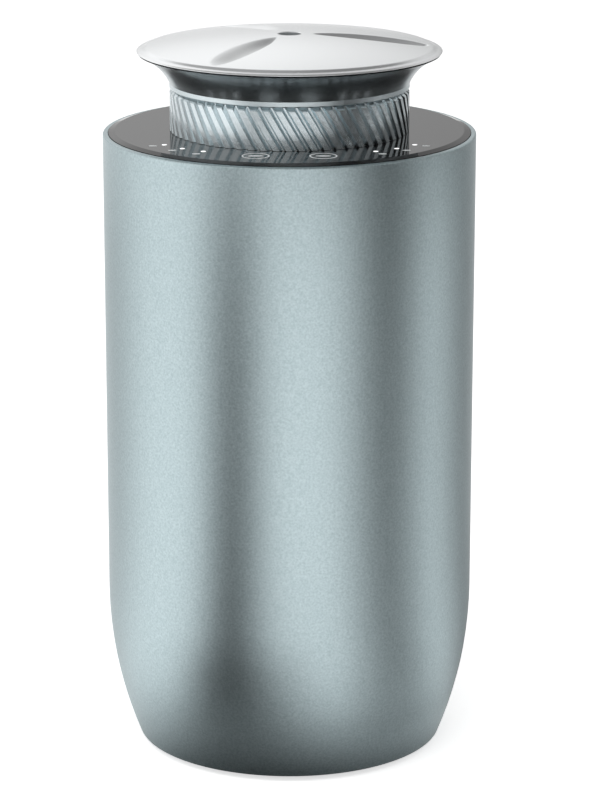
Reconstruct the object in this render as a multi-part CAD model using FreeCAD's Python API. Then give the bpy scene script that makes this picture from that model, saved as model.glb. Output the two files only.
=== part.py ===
import FreeCAD, Part
import math
import os

# Table-top scent diffuser: a metal body with an air pump, a black touch panel, a ribbed locking collar and
# a lift-out head that carries an atomiser and a screwed-in scent bottle.
# Millimetres, +Z up, floor at z = 0, touch keys towards -Y. Sizes chain upwards from the floor and
# outwards from the bottle.

V = FreeCAD.Vector
ORIGIN = V(0, 0, 0)
UP = V(0, 0, 1)

# Scent bottle
BOTTLE_R = 20.0
BOTTLE_LEN = 73.4
BOTTLE_WALL = 1.6
BOTTLE_BASE = 3.0
BOTTLE_HEEL = 2.0
BOTTLE_NECK_R = 11.2
BOTTLE_NECK_H = 17.0
BOTTLE_SHOULDER_H = 10.0
BOTTLE_MOUTH_R = 8.6
BOTTLE_ROOM = 12.0
SEAL_T = 1.5
SEAL_W = 2.4
SEAL_GAP = 0.1

# Bottle well and its neck
WELL_GAP = 1.0
WELL_WALL = 1.5
WELL_FLOOR = 2.0
WELL_FLANGE_T = 2.0
LEDGE_T = 2.0
LEDGE_DROP = 4.0
NECK_WALL = 2.15
MOUTH_DEPTH = 10.8

# Air hose, its nipples and the bush that the head plugs into
HOSE_R = 2.6
HOSE_BEND = 9.0
HOSE_HEADROOM = 8.0
HOSE_WELL_GAP = 0.45
HOSE_END_GAP = 0.3
NIPPLE_R = 1.5
NIPPLE_LEN = 8.0
NIPPLE_FIT = 0.05
AIR_BORE_R = 0.8
BUSH_R = 2.5
BUSH_FIT = 0.05
BUSH_FLANGE_T = 1.2
BUSH_SOCKET = 4.0
SPIGOT_R = 1.6
SPIGOT_FIT = 0.05
SPIGOT_END_GAP = 0.5
PORT_DEG = 225.0

# Case screws
SCREW_R = 1.5
SCREW_HEAD_R = 2.4
SCREW_HEAD_H = 1.6
SCREW_FIT = 0.05
SCREW_BITE = 10.0
SCREW_END_GAP = 1.0
HEAD_ROOM = 0.3

# Small screws in the pump, the retainer and the atomiser
SMALL_SCREW_R = 0.9
SMALL_HEAD_R = 1.6
SMALL_HEAD_H = 1.2
PUMP_SCREW_LEN = 18.0
TINY_SCREW_R = 0.7
TINY_HEAD_R = 0.95
TINY_HEAD_H = 0.7
TINY_SCREW_LEN = 6.0

# Body shell
SHELL_WALL = 2.0
SHELL_TOP_ROUND = 0.5
TAPER_START = 48.0
TAPER_ARC = 124.0
FOOT_ROUND = 0.6
LIP_T = 2.0
LIP_W = 4.53

# Base cover and foot
FOOT_PROUD = 0.6
FOOT_SEAT = 0.5
FOOT_W = 1.6
FOOT_EDGE = 0.4
COVER_T = 1.0
COVER_LAP = 1.5
COVER_SPIGOT_H = 1.8
COVER_GAP = 0.2
COVER_MARGIN = 1.6
AIR_SLOTS = 8
AIR_SLOT_LEN = 8.0
AIR_SLOT_W = 2.0

# Chassis
DECK_T = 2.5
DECK_GAP = 1.4
POSTS = 3
POST_R = 3.0
POST_DEG = 30.0
POST_MARGIN = 0.7
MOUNT_RING_H = 3.0
MOUNT_RING_W = 1.5
MOUNT_RING_GAP = 0.2

# Air pump
MOUNT_FLOOR = 3.0
MOUNT_WALL = 3.0
MOUNT_H = 20.0
MOTOR_R = 12.2
MOTOR_LEN = 30.8
MOTOR_FIT = 0.1
MOTOR_BOSS_R = 3.0
MOTOR_BOSS_H = 1.5
SHAFT_R = 1.0
SHAFT_FIT = 0.08
SHAFT_DEPTH = 18.0
SHAFT_END_GAP = 0.5
PUMP_R = 14.5
PUMP_WALL = 3.5
CRANKCASE_H = 12.0
CRANKCASE_FLOOR = 2.0
CRANK_R = 6.0
CRANK_T = 3.5
CRANK_GAP = 1.1
CRANK_THROW = 1.5
PIN_R = 1.2
PIN_LEN = 3.5
YOKE_WALL = 1.3
YOKE_GAP = 0.4
DIAPHRAGM_T = 1.5
VALVE_T = 3.5
VALVE_PORT_R = 1.5
PUMP_COVER_T = 5.0
INLET_X = 8.0
INLET_R = 1.2
FILTER_R = 3.2
FILTER_H = 6.0

# Control board, power jack, wires and ribbon
BOARD_W = 32.0
BOARD_H = 60.0
BOARD_T = 1.6
BOARD_INSET = 9.2
BOARD_FIT = 0.15
RAIL_W = 4.0
RAIL_LIP = 1.4
RAIL_GRIP = 1.2
RAIL_H = 10.0
CHIP_W = 12.0
CHIP_T = 2.2
CHIP_RISE = 32.0
JACK_RISE = 18.0
JACK_W = 9.0
JACK_H = 11.0
JACK_NOSE_R = 3.9
JACK_BORE_R = 2.75
JACK_BORE_DEPTH = 9.0
JACK_PIN_R = 1.0
JACK_SHELL_GAP = 1.4
JACK_SET_BACK = 1.0
JACK_HOLE_GAP = 0.4
LEAD_R = 0.7
LEAD_SPACING = 3.6
LEAD_RISE = 20.0
LEAD_SAG = 4.0
LEAD_BEND = 5.0
LEAD_END_GAP = 0.1
RIBBON_W = 8.0
RIBBON_T = 0.6
RIBBON_TAIL = 8.0
RIBBON_BEND = 20.0
RIBBON_RISE = 2.0
RIBBON_SLACK = 55.0
RIBBON_SLOT_GAP = 0.5

# Top frame, touch board and lights
FRAME_T = 2.5
FRAME_GAP = 0.25
FRAME_RIM = 1.8
FRAME_RIM_H = 3.9
FRAME_SHELL_GAP = 0.3
STAND_H = 0.8
STAND_W = 1.2
TOUCH_BOARD_T = 1.6
TOUCH_BOARD_GAP = 0.4
KEY_RING_R = 42.6
KEY_SPREAD = 13.0
KEY_PAD_R = 3.0
LED_RING_R = 43.7
LEDS_A_SIDE = 3
LED_FIRST = 35.0
LED_STEP = 10.0
LED_W = 1.6
LED_H = 0.8
PIPE_R = 0.7

# Control panel
PANEL_T = 3.0
PANEL_PROUD = 0.7
PANEL_BEVEL_W = 1.9
PANEL_BEVEL_H = 0.55
PANEL_SEAT_W = 0.55
PANEL_GAP = 0.15
PANEL_SEAT_GAP = 0.2
PANEL_HOLE_GAP = 0.65
TAPE_T = 0.3
TAPE_EDGE = 0.2

# Grip collar and its bearing
SLIP_T = 0.2
SLIP_W = 2.4
SLIP_EDGE = 0.2
COLLAR_LIFT = 0.1
COLLAR_FIT = 0.15
COLLAR_FLANGE_T = 2.2
COLLAR_PLAY = 0.3
COLLAR_WALL = 1.65
RIBS = 60
RIB_DEPTH = 1.2
RIB_SHARE = 0.48
RIB_FOOT_SHARE = 0.86
RIB_TURN = -11.8
RIB_SPANS = 8
RIB_TOP_LAND = 0.2
RETAINER_T = 1.2
RETAINER_LAP = 1.2
RETAINER_GAP = 0.3

# Bayonet between the head and the collar
LUGS = 3
LUG_SPAN = 24.0
LUG_T = 2.0
LUG_REACH = 2.1
LUG_REST_GAP = 0.1
LUG_GAP = 0.3
LOCK_RIM = 1.0
LOCK_T = 3.0
LOCK_GAP = 0.4
SLOT_MARGIN = 3.0

# Head carrier
HEAD_SIDE_GAP = 0.4
CARRIER_WALL = 2.3
CARRIER_SKIRT_H = 8.0
CARRIER_TOP_T = 2.0
CARRIER_TOP_GAP = 0.6
CARRIER_TOP_SIDE_GAP = 0.8
AIR_RIB_W = 3.6
AIR_RIB_H = 4.0
O_RING_R = 0.7
O_RING_SEAT = 1.15
O_RING_RISE = 3.5
O_RING_FIT = 0.05

# Atomiser, dip tube and chimney
ATOMISER_R = 14.0
THREAD_FIT = 0.2
THREAD_DEPTH = 13.5
WEB_T = 2.5
CHAMBER_R = 10.0
ATOMISER_FLANGE_R = 18.5
ATOMISER_FLANGE_T = 3.0
ATOMISER_SCREW_LEN = 4.6
NOZZLE_R = 3.4
NOZZLE_STEM_R = 2.4
NOZZLE_BORE_R = 0.5
NOZZLE_DROP = 2.5
NOZZLE_DISC_RISE = 7.0
NOZZLE_DISC_T = 2.0
NOZZLE_TIP = 3.0
NOZZLE_FIT = 0.05
DIP_R = 1.5
DIP_BORE_R = 0.8
DIP_SEAT = 4.0
DIP_END_GAP = 2.5
CHIMNEY_R = 5.5
CHIMNEY_BORE_R = 4.0
CHIMNEY_FLANGE_T = 2.0
CHIMNEY_FIT = 0.1

# Flared cap
HUB_T = 2.0
HUB_BORE_R = 17.0
HUB_SIDE_GAP = 0.6
HUB_SINK = 0.5
HEAD_GAP = 0.3
TRIM_H = 1.5
TRIM_FIT = 0.1
TRIM_BEVEL = 0.25
TRIM_TOP_STEP = 0.1
SKIRT_WALL = 1.7
FLARE_REACH = 9.07
FLARE_H = 8.6
FLARE_PULL_R = 2.58
FLARE_PULL_Z = 5.9
RIM_LAND = 5.4
RIM_SEAT_H = 1.2
DISC_GAP = 0.5
DISC_LIP_H = 1.5
DISC_LIP_W = 1.0
DISC_LIP_GAP = 0.2
DISC_OVERHANG = 0.45
BEAD_R = 0.6
GROOVE_W = 0.4
GROOVE_DEPTH = 0.2
CROWN_H = 4.0
OUTLET_R = 3.4
BOSS_WALL = 1.5
BOSS_H = 7.0
CAP_POST_R = 3.5
SCOOPS = 3
SCOOP_DEG = -1.0
SCOOP_TIP_R = 6.3
SCOOP_LEN = 35.0
SCOOP_W = 8.8
SCOOP_DEPTH = 1.9
SCOOP_RISE = 0.8

# Heights, from the floor up
z_cover = FOOT_PROUD
z_lip = z_cover + COVER_T
z_deck_under = z_lip + LIP_T
z_deck = z_deck_under + DECK_T
z_motor = z_deck + MOUNT_FLOOR
z_crankcase = z_motor + MOTOR_LEN
z_diaphragm = z_crankcase + CRANKCASE_H
z_valve = z_diaphragm + DIAPHRAGM_T
z_pump_cover = z_valve + VALVE_T
z_pump_top = z_pump_cover + PUMP_COVER_T
z_nipple_top = z_pump_top + NIPPLE_LEN
z_hose_run = z_nipple_top + HOSE_BEND
z_well = z_hose_run + HOSE_R + HOSE_HEADROOM
z_bottle = z_well + WELL_FLOOR + BOTTLE_ROOM
z_mouth = z_bottle + BOTTLE_LEN
z_web = z_mouth + SEAL_T + SEAL_GAP
z_panel = z_mouth + MOUTH_DEPTH
z_shell_top = z_panel - PANEL_PROUD
z_panel_under = z_panel - PANEL_T
z_frame_rim = z_panel_under - TAPE_T
z_frame_floor = z_frame_rim - FRAME_RIM_H
z_frame = z_frame_floor - FRAME_T
z_flange = z_frame - WELL_FLANGE_T
z_ledge = z_flange - LEDGE_DROP
z_ledge_under = z_ledge - LEDGE_T
z_touch_board = z_frame_floor + STAND_H
z_lights = z_touch_board + TOUCH_BOARD_T
z_collar = z_panel + COLLAR_LIFT
z_slip = z_panel - SLIP_T
z_neck_top = z_collar + COLLAR_FLANGE_T + COLLAR_PLAY
z_retainer_top = z_neck_top + RETAINER_T
z_lug = z_retainer_top + LUG_REST_GAP
z_lock = z_lug + LUG_T + LOCK_GAP
z_carrier_plate = z_lock + LOCK_T + CARRIER_TOP_GAP
z_hub = z_carrier_plate + CARRIER_TOP_T
z_collar_top = z_hub + HUB_SINK
z_trim = z_collar_top + HEAD_GAP
z_skirt = z_trim + TRIM_H
z_rim = z_skirt + FLARE_H
z_disc = z_rim + DISC_GAP
z_bead = z_disc + BEAD_R
z_dome_edge = z_disc + 2 * BEAD_R - GROOVE_DEPTH
z_crown = z_dome_edge + CROWN_H

# Radii, from the bottle out
well_in = BOTTLE_R + WELL_GAP
well_out = well_in + WELL_WALL
port_r = well_out + HOSE_WELL_GAP + HOSE_R
bush_flange_r = port_r - well_out - BUSH_FIT
neck_in = port_r + bush_flange_r + BUSH_FIT
neck_out = neck_in + NECK_WALL
frame_in = neck_out + FRAME_GAP
frame_rim_out = frame_in + FRAME_RIM
post_pitch = frame_rim_out + SCREW_HEAD_R + HEAD_ROOM * 2
well_flange_r = post_pitch + POST_R + POST_MARGIN
base_open_r = post_pitch + SCREW_HEAD_R + HEAD_ROOM + COVER_MARGIN
taper_in = TAPER_ARC - SHELL_WALL
taper_inset = taper_in - math.sqrt(taper_in**2 - (TAPER_START - z_deck_under) ** 2)
body_r = base_open_r + LIP_W + taper_inset + SHELL_WALL
deck_r = base_open_r + LIP_W - DECK_GAP
shell_in = body_r - SHELL_WALL
panel_seat_r = shell_in + PANEL_SEAT_W
panel_r = panel_seat_r - PANEL_GAP
panel_hole_r = neck_out + PANEL_HOLE_GAP
slip_out = panel_hole_r + SLIP_EDGE + SLIP_W
frame_out = shell_in - FRAME_SHELL_GAP
frame_rim_in = frame_out - FRAME_RIM
touch_board_in = post_pitch + SCREW_HEAD_R + HEAD_ROOM * 3
touch_board_out = frame_rim_in - TOUCH_BOARD_GAP
collar_bore = neck_out + COLLAR_FIT
retainer_out = collar_bore + RETAINER_LAP
collar_in = retainer_out + RETAINER_GAP
rib_floor = collar_in + COLLAR_WALL
collar_out = rib_floor + RIB_DEPTH
lock_slot_r = collar_in - LOCK_RIM
lug_r = lock_slot_r - LUG_GAP
carrier_r = lug_r - LUG_REACH
lock_in = carrier_r + HEAD_SIDE_GAP
carrier_low_r = neck_in - HEAD_SIDE_GAP
carrier_bore = carrier_low_r - CARRIER_WALL
carrier_plate_r = collar_in - CARRIER_TOP_SIDE_GAP
cap_screw_pitch = carrier_bore - SCREW_HEAD_R - HEAD_ROOM
hub_r = collar_in - HUB_SIDE_GAP
trim_top_r = collar_out + TRIM_TOP_STEP
rim_r = trim_top_r + FLARE_REACH
rim_seat_r = rim_r - RIM_LAND
bead_ring_r = rim_r + DISC_OVERHANG - BEAD_R
dome_edge_r = bead_ring_r - GROOVE_W
dome_arc = (dome_edge_r**2 + CROWN_H**2) / (2 * CROWN_H)
thread_r = BOTTLE_NECK_R + THREAD_FIT
pump_screw_pitch = PUMP_R - PUMP_WALL / 2
retainer_screw_pitch = (neck_in + neck_out) / 2
atomiser_screw_pitch = (ATOMISER_R + ATOMISER_FLANGE_R) / 2
screw_hole_r = SCREW_R + SCREW_FIT
small_hole_r = SMALL_SCREW_R + SCREW_FIT
tiny_hole_r = TINY_SCREW_R + SCREW_FIT
port = V(port_r * math.cos(math.radians(PORT_DEG)), port_r * math.sin(math.radians(PORT_DEG)), 0)

# Control board and jack places at the back
board_y = deck_r - BOARD_INSET
board_back = board_y + BOARD_T
z_jack = z_deck + JACK_RISE


# Small helpers for turned, drilled and repeated shapes
def body_radius(z, inset=0.0):
    arc = TAPER_ARC - inset
    below = max(TAPER_START - z, 0.0)
    return body_r - TAPER_ARC + math.sqrt(arc**2 - below**2)


def dome_height(radius):
    return z_crown - dome_arc + math.sqrt(dome_arc**2 - radius**2)


def cylinder(radius, z_low, z_high, x=0.0, y=0.0):
    return Part.makeCylinder(radius, z_high - z_low, V(x, y, z_low))


def ring(r_in, r_out, z_low, z_high):
    return cylinder(r_out, z_low, z_high).cut(cylinder(r_in, z_low, z_high))


def sector(r_in, r_out, z_low, z_high, middle_deg, span_deg):
    wedge = Part.makeCylinder(r_out, z_high - z_low, V(0, 0, z_low), UP, span_deg)
    return turned(wedge, middle_deg - span_deg / 2).cut(cylinder(r_in, z_low, z_high))


def turned(shape, degrees):
    copy = shape.copy()
    copy.rotate(ORIGIN, UP, degrees)
    return copy


def around(shape, count, start_deg=0.0):
    return [turned(shape, start_deg + 360.0 * i / count) for i in range(count)]


def spun(start, *steps):
    # Turns an outline of (r, z) points about Z; a step may also be an arc's or a curve's (kind, via, end)
    edges = []
    here = V(start[0], 0, start[1])
    for step in steps + (start,):
        kind, via, end = step if len(step) == 3 else ("line", None, step)
        there = V(end[0], 0, end[1])
        if kind == "arc":
            curve = Part.Arc(here, V(via[0], 0, via[1]), there)
        elif kind == "curve":
            curve = Part.BezierCurve()
            curve.setPoles([here, V(via[0], 0, via[1]), there])
        else:
            curve = Part.LineSegment(here, there)
        edges.append(curve.toShape())
        here = there
    solid = Part.Face(Part.Wire(edges)).revolve(ORIGIN, UP, 360)
    if solid.Volume < 0:
        solid.reverse()
    return solid


def round_edge(solid, radius, edge_r, edge_z):
    near = [
        edge
        for edge in solid.Edges
        if isinstance(edge.Curve, Part.Circle)
        and abs(edge.Curve.Radius - edge_r) < 1e-4
        and abs(edge.Curve.Center.z - edge_z) < 1e-4
    ]
    return solid.makeFillet(radius, near)


def screw(radius, head_r, head_h, length, z_seat, pitch, head_up):
    # One screw at (pitch, 0) with its head's flat on z_seat
    sign = 1 if head_up else -1
    z_head = z_seat + sign * head_h
    z_tip = z_seat - sign * length
    head = cylinder(head_r, min(z_seat, z_head), max(z_seat, z_head), pitch)
    shank = cylinder(radius, min(z_seat, z_tip), max(z_seat, z_tip), pitch)
    return head.fuse(shank).removeSplitter()


def bent_path(points, bend):
    # Straight runs joined by tangent arcs of one radius
    edges = []
    here = points[0]
    for before, corner, after in zip(points, points[1:], points[2:]):
        back = (before - corner).normalize()
        ahead = (after - corner).normalize()
        half = back.getAngle(ahead) / 2
        start = corner + back * (bend / math.tan(half))
        end = corner + ahead * (bend / math.tan(half))
        inward = (back + ahead).normalize()
        middle = corner + inward * (bend / math.sin(half) - bend)
        edges.append(Part.LineSegment(here, start).toShape())
        edges.append(Part.Arc(start, middle, end).toShape())
        here = end
    edges.append(Part.LineSegment(here, points[-1]).toShape())
    return Part.Wire(edges)


def rod_along(path, radius):
    first = path.OrderedEdges[0]
    start = first.valueAt(first.FirstParameter)
    heading = first.tangentAt(first.FirstParameter)
    section = Part.Wire([Part.makeCircle(radius, start, heading)])
    return path.makePipeShell([section], True, False)


# Body and base
def body_shell():
    foot_r = body_radius(z_lip)
    middle = (z_lip + TAPER_START) / 2
    middle_in = (z_deck_under + TAPER_START) / 2
    z_seat = z_panel_under - PANEL_SEAT_GAP
    solid = spun(
        (base_open_r, z_lip),
        (foot_r, z_lip),
        ("arc", (body_radius(middle), middle), (body_r, TAPER_START)),
        (body_r, z_shell_top),
        (panel_seat_r, z_shell_top),
        (panel_seat_r, z_seat),
        (shell_in, z_seat),
        (shell_in, TAPER_START),
        ("arc", (body_radius(middle_in, SHELL_WALL), middle_in), (base_open_r + LIP_W, z_deck_under)),
        (base_open_r, z_deck_under),
    )
    solid = round_edge(solid, FOOT_ROUND, foot_r, z_lip)
    solid = round_edge(solid, SHELL_TOP_ROUND, body_r, z_shell_top)
    hole = Part.makeCylinder(JACK_NOSE_R + JACK_HOLE_GAP, body_r, V(0, board_back, z_jack), V(0, 1, 0))
    return solid.cut(hole)


def foot_seat_radii():
    outer = base_open_r + COVER_LAP - FOOT_EDGE
    return outer - FOOT_W, outer


def foot_ring():
    seat_in, seat_out = foot_seat_radii()
    return ring(seat_in, seat_out, 0.0, z_cover + FOOT_SEAT)


def air_slot(z_low, z_high):
    start = cap_screw_pitch - AIR_SLOT_LEN / 2
    return Part.makeBox(AIR_SLOT_LEN, AIR_SLOT_W, z_high - z_low, V(start, -AIR_SLOT_W / 2, z_low))


def base_cover():
    seat_in, seat_out = foot_seat_radii()
    z_top = z_lip + COVER_SPIGOT_H
    z_head = z_cover + HEAD_ROOM + SCREW_HEAD_H
    plate = cylinder(base_open_r + COVER_LAP, z_cover, z_lip)
    plate = plate.fuse(cylinder(base_open_r - COVER_GAP, z_lip, z_top)).removeSplitter()
    head_hole = cylinder(SCREW_HEAD_R + HEAD_ROOM, z_cover, z_head, post_pitch)
    through = cylinder(screw_hole_r, z_cover, z_top, post_pitch)
    cuts = around(head_hole, POSTS, POST_DEG) + around(through, POSTS, POST_DEG)
    cuts += around(air_slot(z_cover, z_top), AIR_SLOTS)
    cuts.append(ring(seat_in, seat_out, z_cover, z_cover + FOOT_SEAT))
    return plate.cut(cuts)


def base_screws():
    z_seat = z_cover + HEAD_ROOM + SCREW_HEAD_H
    length = z_deck + SCREW_BITE - z_seat
    one = screw(SCREW_R, SCREW_HEAD_R, SCREW_HEAD_H, length, z_seat, post_pitch, False)
    return around(one, POSTS, POST_DEG)


def board_rail(side):
    grip_x = BOARD_W / 2 - RAIL_GRIP
    low = V(grip_x, board_y - RAIL_LIP - BOARD_FIT, z_deck)
    rail = Part.makeBox(RAIL_W, BOARD_T + 2 * (RAIL_LIP + BOARD_FIT), RAIL_H, low)
    slot_low = V(0, board_y - BOARD_FIT, z_deck)
    slot = Part.makeBox(BOARD_W / 2 + BOARD_FIT, BOARD_T + 2 * BOARD_FIT, RAIL_H, slot_low)
    rail = rail.cut(slot)
    return rail if side > 0 else rail.mirror(ORIGIN, V(1, 0, 0))


def chassis():
    mount_out = MOTOR_R + MOTOR_FIT + MOUNT_WALL + MOUNT_RING_GAP
    deck = cylinder(deck_r, z_deck_under, z_deck)
    post = cylinder(POST_R, z_deck_under, z_flange, post_pitch)
    pieces = around(post, POSTS, POST_DEG) + [board_rail(1), board_rail(-1)]
    pieces.append(ring(mount_out, mount_out + MOUNT_RING_W, z_deck, z_deck + MOUNT_RING_H))
    solid = deck.fuse(pieces).removeSplitter()
    low_hole = cylinder(screw_hole_r, z_deck_under, z_deck + SCREW_BITE + SCREW_END_GAP, post_pitch)
    top_hole = cylinder(screw_hole_r, z_flange - SCREW_BITE - SCREW_END_GAP, z_flange, post_pitch)
    cuts = around(low_hole, POSTS, POST_DEG) + around(top_hole, POSTS, POST_DEG)
    cuts += around(air_slot(z_deck_under, z_deck), AIR_SLOTS)
    return solid.cut(cuts)


# Air pump
def pump_mount():
    inner = MOTOR_R + MOTOR_FIT
    top = z_deck + MOUNT_H
    return cylinder(inner + MOUNT_WALL, z_deck, top).cut(cylinder(inner, z_motor, top))


def pump_motor():
    boss_top = z_crankcase + MOTOR_BOSS_H
    solid = cylinder(MOTOR_R, z_motor, z_crankcase).fuse(cylinder(MOTOR_BOSS_R, z_motor, boss_top))
    bore = cylinder(SHAFT_R + SHAFT_FIT, z_crankcase - SHAFT_DEPTH, boss_top)
    return solid.removeSplitter().cut(bore)


def crank_heights():
    low = z_crankcase + MOTOR_BOSS_H + CRANK_GAP
    return low, low + CRANK_T


def pump_rotor():
    crank_low, crank_top = crank_heights()
    shaft = cylinder(SHAFT_R, z_crankcase - SHAFT_DEPTH + SHAFT_END_GAP, crank_low)
    pin = cylinder(PIN_R, crank_top, crank_top + PIN_LEN, CRANK_THROW)
    return shaft.fuse([cylinder(CRANK_R, crank_low, crank_top), pin]).removeSplitter()


def pump_screw_holes(z_low, z_high):
    return around(cylinder(small_hole_r, z_low, z_high, pump_screw_pitch), POSTS, POST_DEG * 2)


def pump_body():
    solid = cylinder(PUMP_R, z_crankcase, z_diaphragm)
    cuts = pump_screw_holes(z_pump_top - PUMP_SCREW_LEN - SCREW_END_GAP, z_diaphragm)
    cuts.append(cylinder(PUMP_R - PUMP_WALL, z_crankcase + CRANKCASE_FLOOR, z_diaphragm))
    cuts.append(cylinder(MOTOR_BOSS_R + MOTOR_FIT, z_crankcase, z_crankcase + CRANKCASE_FLOOR))
    return solid.cut(cuts)


def pump_diaphragm():
    crank_top = crank_heights()[1]
    yoke_bore = CRANK_THROW + PIN_R + YOKE_GAP
    yoke = cylinder(yoke_bore + YOKE_WALL, crank_top + YOKE_GAP, z_valve)
    solid = cylinder(PUMP_R, z_diaphragm, z_valve).fuse(yoke).removeSplitter()
    cuts = pump_screw_holes(z_diaphragm, z_valve)
    cuts.append(cylinder(yoke_bore, crank_top, crank_top + PIN_LEN + YOKE_GAP))
    return solid.cut(cuts)


def pump_valve_plate():
    cuts = pump_screw_holes(z_valve, z_pump_cover)
    cuts += around(cylinder(VALVE_PORT_R, z_valve, z_pump_cover, PUMP_R / 2), 2, 90.0)
    return cylinder(PUMP_R, z_valve, z_pump_cover).cut(cuts)


def pump_cover():
    solid = cylinder(PUMP_R, z_pump_cover, z_pump_top).fuse(cylinder(NIPPLE_R, z_pump_cover, z_nipple_top))
    cuts = pump_screw_holes(z_pump_cover, z_pump_top)
    cuts.append(cylinder(AIR_BORE_R, z_pump_cover, z_nipple_top))
    cuts.append(cylinder(INLET_R, z_pump_cover, z_pump_top, INLET_X))
    return solid.removeSplitter().cut(cuts)


def pump_screws():
    sizes = (SMALL_SCREW_R, SMALL_HEAD_R, SMALL_HEAD_H, PUMP_SCREW_LEN)
    one = screw(*sizes, z_pump_top, pump_screw_pitch, True)
    return around(one, POSTS, POST_DEG * 2)


def intake_filter():
    return cylinder(FILTER_R, z_pump_top, z_pump_top + FILTER_H, INLET_X)


# Air hose and bush
def bush_under():
    return z_ledge_under - BUSH_FLANGE_T


def air_hose():
    rise = V(0, 0, z_hose_run)
    points = [
        V(0, 0, z_pump_top + HOSE_END_GAP),
        rise,
        rise + port,
        port + V(0, 0, bush_under() - HOSE_END_GAP),
    ]
    path = bent_path(points, HOSE_BEND)
    return rod_along(path, HOSE_R).cut(rod_along(path, NIPPLE_R + NIPPLE_FIT))


def air_bush():
    top = z_ledge + BUSH_FLANGE_T
    low = bush_under()
    tip = low - NIPPLE_LEN
    floor = top - BUSH_SOCKET
    socket_r = SPIGOT_R + SPIGOT_FIT
    solid = spun(
        (AIR_BORE_R, tip),
        (NIPPLE_R, tip),
        (NIPPLE_R, low),
        (bush_flange_r, low),
        (bush_flange_r, z_ledge_under),
        (BUSH_R, z_ledge_under),
        (BUSH_R, z_ledge),
        (bush_flange_r, z_ledge),
        (bush_flange_r, top),
        (socket_r, top),
        (socket_r, floor),
        (AIR_BORE_R, floor),
    )
    solid.translate(port)
    return solid


# Control board, jack, leads and ribbon
def control_board():
    board = Part.makeBox(BOARD_W, BOARD_T, BOARD_H, V(-BOARD_W / 2, board_y, z_deck))
    chip_low = V(-CHIP_W / 2, board_back, z_deck + CHIP_RISE)
    return board.fuse(Part.makeBox(CHIP_W, CHIP_T, CHIP_W, chip_low)).removeSplitter()


def dc_jack():
    body_end = body_radius(z_jack - JACK_H / 2, SHELL_WALL) - JACK_SHELL_GAP
    nose_end = body_radius(z_jack) - JACK_SET_BACK
    block_low = V(-JACK_W / 2, board_back, z_jack - JACK_H / 2)
    block = Part.makeBox(JACK_W, body_end - board_back, JACK_H, block_low)
    nose = Part.makeCylinder(JACK_NOSE_R, nose_end - board_back, V(0, board_back, z_jack), V(0, 1, 0))
    bore_low = V(0, nose_end - JACK_BORE_DEPTH, z_jack)
    bore = Part.makeCylinder(JACK_BORE_R, JACK_BORE_DEPTH, bore_low, V(0, 1, 0))
    pin = Part.makeCylinder(JACK_PIN_R, JACK_BORE_DEPTH - JACK_SET_BACK, bore_low, V(0, 1, 0))
    return block.fuse(nose).removeSplitter().cut(bore).fuse(pin).removeSplitter()


def motor_leads():
    z_high = z_motor + LEAD_RISE
    z_low = z_high - LEAD_SAG
    y_start = MOTOR_R + LEAD_END_GAP
    y_end = board_y - LEAD_END_GAP
    y_third = (y_end - y_start) / 3
    leads = []
    for x in (-LEAD_SPACING / 2, LEAD_SPACING / 2):
        points = [
            V(x, y_start, z_high),
            V(x, y_start + y_third, z_high),
            V(x, y_end - y_third, z_low),
            V(x, y_end, z_low),
        ]
        leads.append(rod_along(bent_path(points, LEAD_BEND), LEAD_R))
    return leads


def ribbon_middle_r():
    return (touch_board_in + touch_board_out) / 2


def ribbon_cable():
    y_low = board_y - RIBBON_T / 2 - LEAD_END_GAP
    y_top = ribbon_middle_r()
    z_low = z_deck + BOARD_H - RIBBON_TAIL
    z_leave = z_deck + BOARD_H + RIBBON_RISE
    x = -RIBBON_W / 2
    points = [
        V(x, y_low, z_low),
        V(x, y_low, z_leave),
        V(x, y_top, z_leave + RIBBON_SLACK),
        V(x, y_top, z_touch_board),
    ]
    path = bent_path(points, RIBBON_BEND)
    half = RIBBON_T / 2
    corners = [V(x, y_low - half, z_low), V(x, y_low + half, z_low)]
    corners += [V(x + RIBBON_W, y_low + half, z_low), V(x + RIBBON_W, y_low - half, z_low)]
    section = Part.makePolygon(corners + corners[:1])
    return path.makePipeShell([section], True, False)


# Bottle well, top frame, touch board and panel
def bottle_well():
    solid = spun(
        (0.0, z_well),
        (well_out, z_well),
        (well_out, z_ledge_under),
        (neck_out, z_ledge_under),
        (neck_out, z_flange),
        (well_flange_r, z_flange),
        (well_flange_r, z_frame),
        (neck_out, z_frame),
        (neck_out, z_neck_top),
        (neck_in, z_neck_top),
        (neck_in, z_ledge),
        (well_in, z_ledge),
        (well_in, z_well + WELL_FLOOR),
        (0.0, z_well + WELL_FLOOR),
    )
    screw_hole = cylinder(screw_hole_r, z_flange, z_frame, post_pitch)
    z_tiny_low = z_retainer_top - TINY_SCREW_LEN - SCREW_END_GAP
    tiny_hole = cylinder(tiny_hole_r, z_tiny_low, z_neck_top, retainer_screw_pitch)
    cuts = around(screw_hole, POSTS, POST_DEG) + around(tiny_hole, POSTS, POST_DEG * 2)
    cuts.append(cylinder(BUSH_R + BUSH_FIT, z_ledge_under, z_ledge, port.x, port.y))
    return solid.cut(cuts)


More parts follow.
